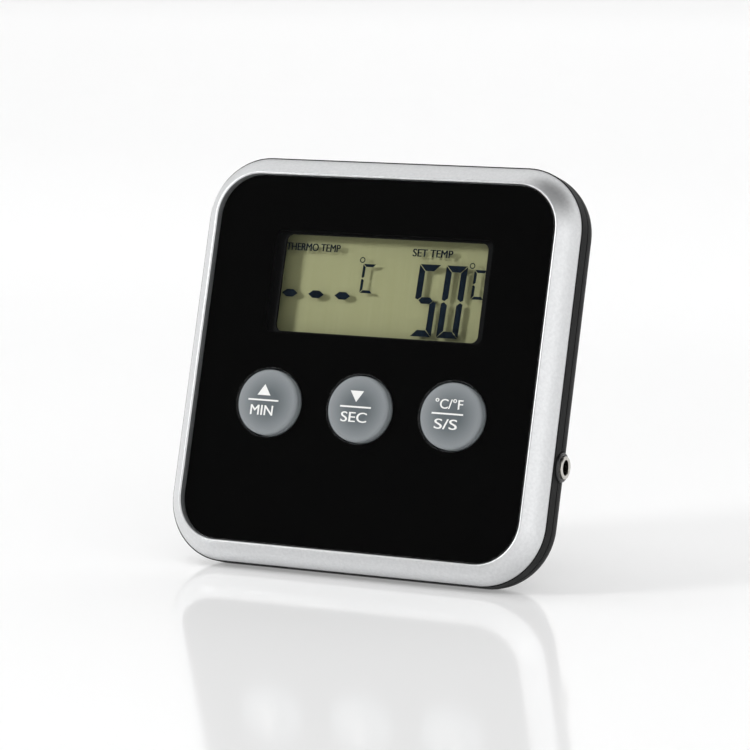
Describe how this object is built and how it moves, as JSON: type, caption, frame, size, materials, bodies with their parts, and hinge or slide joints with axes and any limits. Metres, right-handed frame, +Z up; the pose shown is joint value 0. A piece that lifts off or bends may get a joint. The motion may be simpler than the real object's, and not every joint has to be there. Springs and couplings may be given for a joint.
{
  "type": "meat thermometer",
  "caption": "Digital probe thermometer display: square leaning case with LCD window, three buttons, side probe socket, flip-out stand and back magnets.",
  "frame": {"origin": "on the standing surface under the middle of the case, centred in depth over case and open stand", "axes": "+Z up, +X to the right of someone reading the display (the probe socket's side), -Y towards the reader"},
  "size_m": [0.0708, 0.0394, 0.0683],
  "materials": {
    "adhesive_tape": "matt",
    "black_abs": "fine moulded texture",
    "black_epoxy": "satin",
    "black_film": "gloss black print",
    "black_nylon": "satin",
    "brass": "rolled",
    "cell_jacket": "gloss sleeve",
    "chip_ceramic": "matt",
    "circuit_board": "solder mask",
    "clear_acrylic": "clear, polished",
    "contact_rubber": "matt",
    "display_glass": "polished",
    "grey_silicone": "translucent satin",
    "lead_insulation": "satin",
    "magnet_nickel": "satin nickel",
    "nickel_plate": "polished",
    "plated_steel": "tin plated",
    "reflector": "satin",
    "silver_paint": "satin metallic paint on ABS",
    "white_ceramic": "matt",
    "zinc_steel": "zinc plated"
  },
  "bodies": {
    "root": {"face_lens": "clear_acrylic", "lens_mask": "black_film", "lens_tape": "adhesive_tape", "bezel": "silver_paint", "front_housing": "black_abs", "rear_cover": "black_abs", "lcd_frame": "black_abs", "lcd_front_glass": "display_glass", "lcd_rear_glass": "display_glass", "lcd_reflector": "reflector", "zebra_strip": "contact_rubber", "main_board": "circuit_board", "driver_chip": "black_epoxy", "clock_crystal": "plated_steel", "board_parts": "chip_ceramic", "keypad_mat": "grey_silicone", "jack_body": "black_nylon", "jack_bushing": "nickel_plate", "jack_collar": "black_nylon", "jack_contacts": "plated_steel", "buzzer_plate": "brass", "buzzer_crystal": "white_ceramic", "buzzer_leads": "lead_insulation", "battery": "cell_jacket", "battery_plate": "plated_steel", "battery_spring": "plated_steel", "battery_lead": "lead_insulation", "magnets": "magnet_nickel", "switch_case": "plated_steel", "case_screws": "zinc_steel", "board_screws": "zinc_steel"},
    "battery_door": {"battery_door": "black_abs"},
    "stand": {"stand": "black_abs"},
    "switch_knob": {"switch_knob": "black_nylon"},
    "button_min": {"button_min": "grey_silicone", "pill_min": "contact_rubber"},
    "button_sec": {"button_sec": "grey_silicone", "pill_sec": "contact_rubber"},
    "button_start": {"button_start": "grey_silicone", "pill_start": "contact_rubber"}
  },
  "joints": [
    {"name": "button_min_press", "type": "slide", "parent": "root", "child": "button_min", "axis": [0, 0.9602, -0.2793], "range_m": [0, 0.0007], "stiffness_N_per_m": 800, "springref_m": -0.0008},
    {"name": "button_sec_press", "type": "slide", "parent": "root", "child": "button_sec", "axis": [0, 0.9602, -0.2793], "range_m": [0, 0.0007], "stiffness_N_per_m": 800, "springref_m": -0.0008},
    {"name": "button_start_press", "type": "slide", "parent": "root", "child": "button_start", "axis": [0, 0.9602, -0.2793], "range_m": [0, 0.0007], "stiffness_N_per_m": 800, "springref_m": -0.0008},
    {"name": "stand_hinge", "type": "hinge", "parent": "root", "child": "stand", "pos_m": [0, 0.00805, 0.04061], "axis": [1, 0, 0], "range_deg": [-31.18, 0]},
    {"name": "mode_switch", "type": "slide", "parent": "root", "child": "switch_knob", "axis": [0, 0.2793, 0.9602], "range_m": [-0.002, 0.002]},
    {"name": "battery_door_lift", "type": "slide", "parent": "root", "child": "battery_door", "axis": [0, 0.9602, -0.2793], "range_m": [0, 0.012]}
  ]
}
